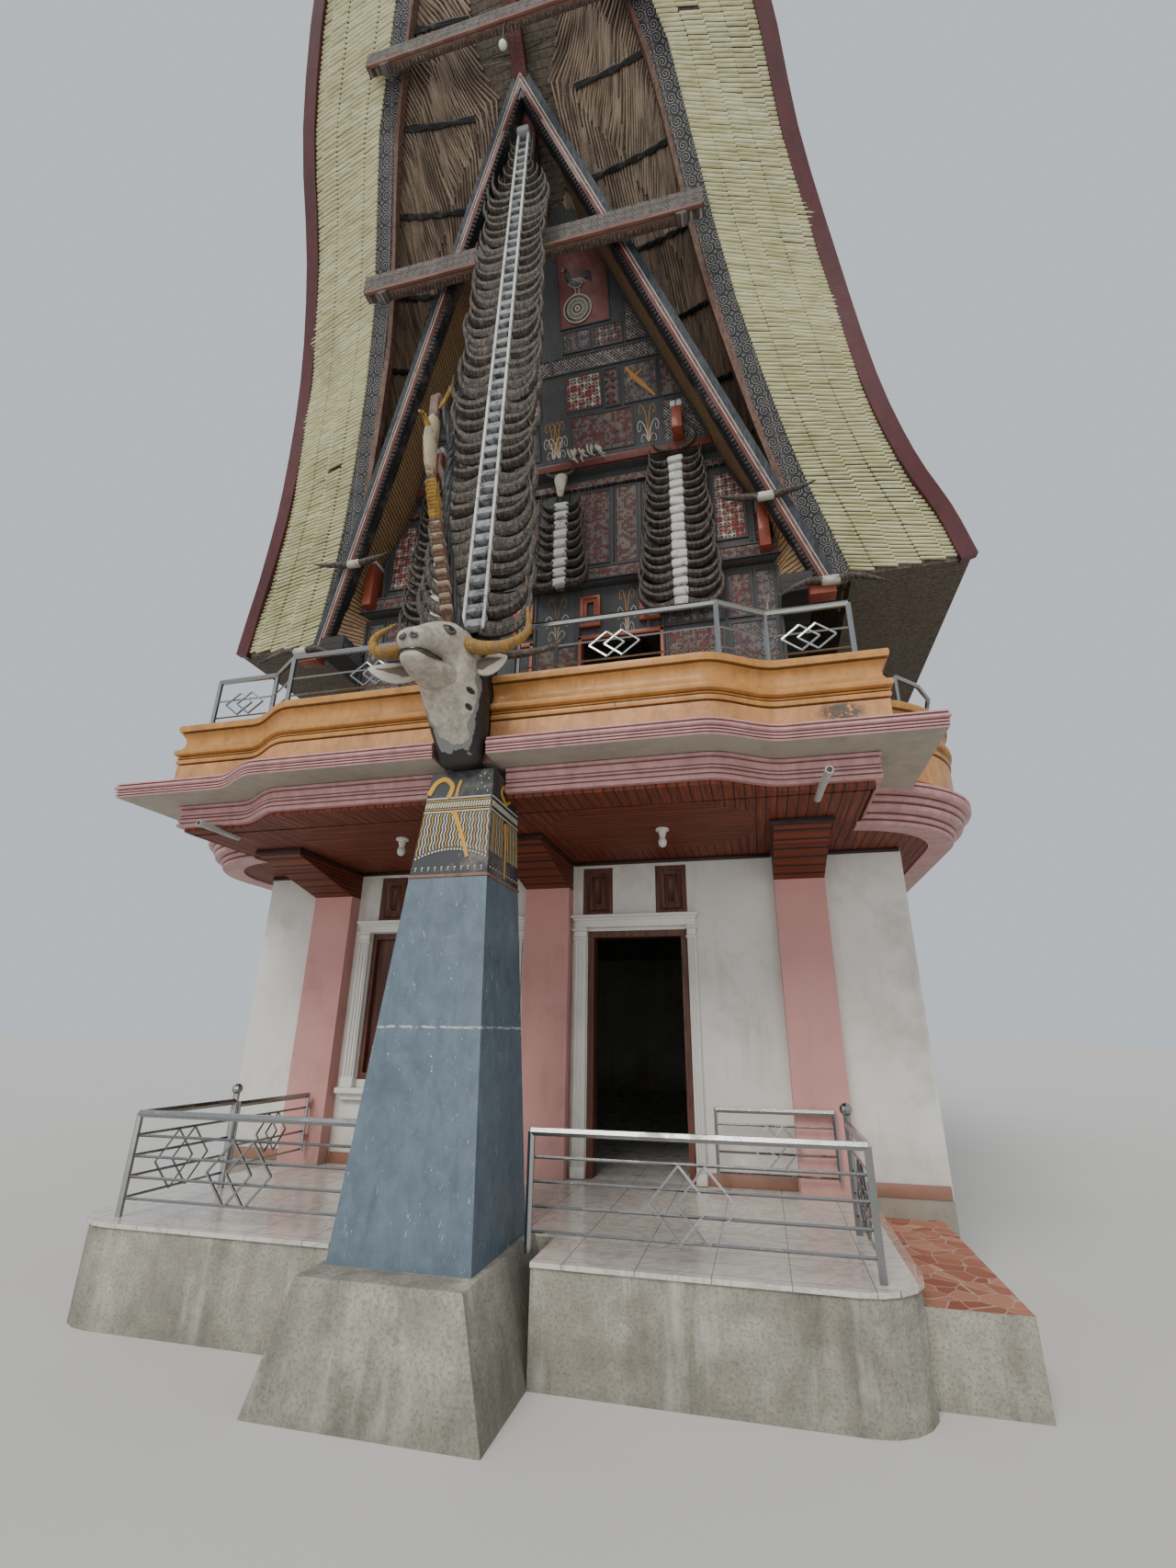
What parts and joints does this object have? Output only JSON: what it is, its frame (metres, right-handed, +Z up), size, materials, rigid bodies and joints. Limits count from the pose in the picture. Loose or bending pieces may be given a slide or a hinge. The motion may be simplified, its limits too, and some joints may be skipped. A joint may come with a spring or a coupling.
{
  "type": "tongkonan house",
  "caption": "Carved timber house under a saddle-shaped bamboo roof, raised on a masonry ground storey with balcony, terrace, front pillar and gates.",
  "frame": {"origin": "on the ground, under the middle of the ground storey", "axes": "+X to the right seen from the front, +Y into the house, +Z up"},
  "size_m": [8.8, 18.8, 15.72],
  "materials": {
    "tile": "glossy marbled floor tile",
    "concrete": "rough stained concrete",
    "grey_paint": "weathered blue-grey paint",
    "white_paint": "matt painted render",
    "pink_paint": "matt painted render",
    "orange_paint": "matt painted render",
    "brown_wood": "varnished",
    "ceiling_board": "varnished boards",
    "dark_wood": "weathered black paint",
    "red_wood": "weathered red paint",
    "carved_wood": "carved and painted",
    "bamboo": "split bamboo",
    "horn": "weathered horn",
    "pale_painted_wood": "spotted paint",
    "ochre_painted_wood": "painted",
    "steel": "polished stainless",
    "glass": "dark"
  },
  "bodies": {
    "house": {"foundation": "tile", "terrace": "concrete", "pillar_plinth": "concrete", "pillar_box": "grey_paint", "carved_box": "carved_wood", "front_wall_left": "white_paint", "front_wall_right": "white_paint", "wall_over_door": "white_paint", "left_wall": "white_paint", "right_wall": "white_paint", "back_wall": "white_paint", "left_window_glass": "glass", "right_window_glass": "glass", "pillar_left": "pink_paint", "pillar_middle": "pink_paint", "pillar_right": "pink_paint", "door_trim": "white_paint", "door_frame": "brown_wood", "window_frame": "brown_wood", "window_trim": "white_paint", "soffit": "ceiling_board", "floor_slab": "concrete", "front_canopy": "pink_paint", "front_parapet": "orange_paint", "side_gallery_left": "orange_paint", "side_gallery_right": "orange_paint", "terrace_rail_left": "steel", "terrace_rail_right": "steel", "balcony_rail_left": "steel", "balcony_rail_right": "steel", "side_rail_left": "steel", "side_rail_right": "steel", "front_facade_lower": "carved_wood", "rear_facade_lower": "carved_wood", "body_left_wall": "carved_wood", "body_right_wall": "carved_wood", "front_facade_upper": "carved_wood", "rear_facade_upper": "carved_wood", "front_gable": "carved_wood", "rear_gable": "carved_wood", "front_rafters": "dark_wood", "rear_rafters": "dark_wood", "verge_boards_front": "carved_wood", "verge_boards_rear": "carved_wood", "tie_beam_lower": "brown_wood", "tie_beam_upper": "brown_wood", "ridge_beam": "red_wood", "roof_left": "bamboo", "roof_right": "bamboo", "main_post": "dark_wood", "rear_post": "dark_wood", "main_horn_column": "horn", "horn_column_left": "horn", "horn_column_middle": "horn", "horn_column_right": "horn", "buffalo_head": "pale_painted_wood", "katik": "ochre_painted_wood"},
    "left_gate": {"gate_left": "steel"},
    "right_gate": {"gate_right": "steel"}
  },
  "joints": [
    {"name": "left_gate_hinge", "type": "hinge", "parent": "house", "child": "left_gate", "pos_m": [-2.3, -5.222, 0.93], "axis": [0, 0, 1], "range_deg": [0, 90]},
    {"name": "right_gate_hinge", "type": "hinge", "parent": "house", "child": "right_gate", "pos_m": [2.45, -5.222, 0.93], "axis": [0, 0, 1], "range_deg": [0, 90]}
  ]
}
